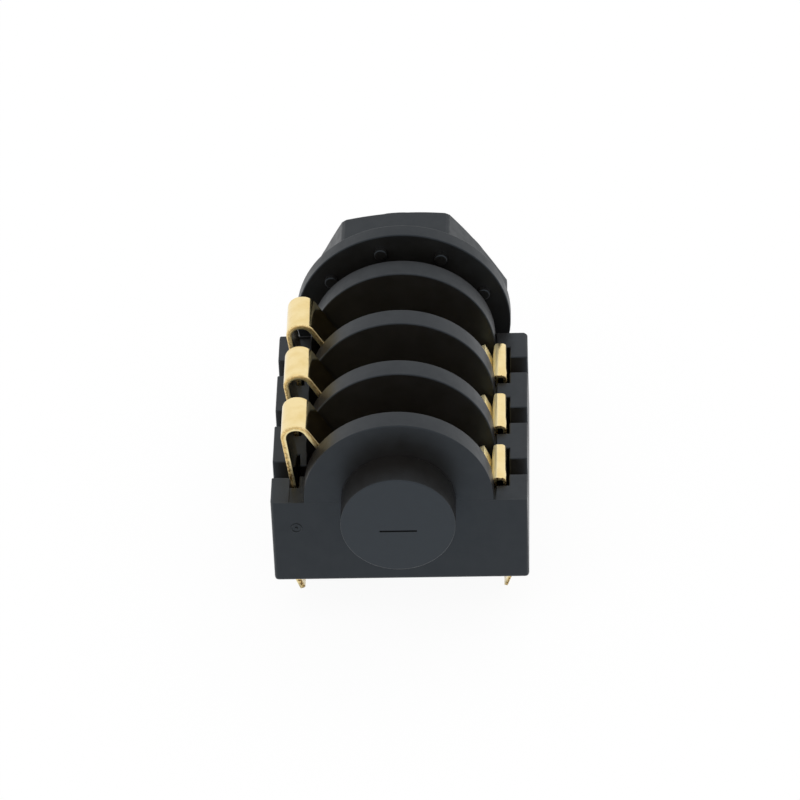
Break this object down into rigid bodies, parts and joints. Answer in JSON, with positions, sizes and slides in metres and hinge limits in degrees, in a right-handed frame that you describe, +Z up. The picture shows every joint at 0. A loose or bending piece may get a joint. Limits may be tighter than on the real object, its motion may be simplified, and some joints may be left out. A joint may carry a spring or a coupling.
{
  "type": "audio jack socket",
  "caption": "Board-mounted audio jack socket with an open finned housing, gold spring contacts that part from their break contacts when a plug goes in, and a flanged hexagon nut on the nose.",
  "frame": {"origin": "centre of the six solder pins, on the board plane at the underside of the housing", "axes": "+X across the socket, to the right seen from behind; +Y along the plug axis, out of the mouth; +Z up from the board"},
  "size_m": [0.0198, 0.032, 0.0202],
  "materials": {
    "housing_plastic": "fine satin moulding",
    "nut_plastic": "fine satin moulding",
    "contact_gold": "gold-plated strip"
  },
  "bodies": {
    "housing": {"housing": "housing_plastic", "tip_terminal": "contact_gold", "ring_terminal": "contact_gold", "sleeve_terminal": "contact_gold", "tip_break_contact": "contact_gold", "ring_break_contact": "contact_gold", "sleeve_break_contact": "contact_gold"},
    "nut": {"nut": "nut_plastic"},
    "tip_spring": {"tip_spring": "contact_gold"},
    "ring_spring": {"ring_spring": "contact_gold"},
    "sleeve_spring": {"sleeve_spring": "contact_gold"}
  },
  "joints": [
    {"name": "nut_turn", "type": "hinge", "parent": "housing", "child": "nut", "pos_m": [0, 0.0144, 0.0079], "axis": [0, 1, 0], "continuous": true},
    {"name": "tip_flex", "type": "hinge", "parent": "housing", "child": "tip_spring", "pos_m": [-0.00773, -0.00635, 0.01236], "axis": [0, 1, 0], "range_deg": [0, 5], "stiffness_Nm_per_rad": 0.2},
    {"name": "ring_flex", "type": "hinge", "parent": "housing", "child": "ring_spring", "pos_m": [-0.00773, 0, 0.01236], "axis": [0, 1, 0], "range_deg": [0, 5], "stiffness_Nm_per_rad": 0.2},
    {"name": "sleeve_flex", "type": "hinge", "parent": "housing", "child": "sleeve_spring", "pos_m": [-0.00773, 0.00635, 0.01236], "axis": [0, 1, 0], "range_deg": [0, 5], "stiffness_Nm_per_rad": 0.2}
  ]
}
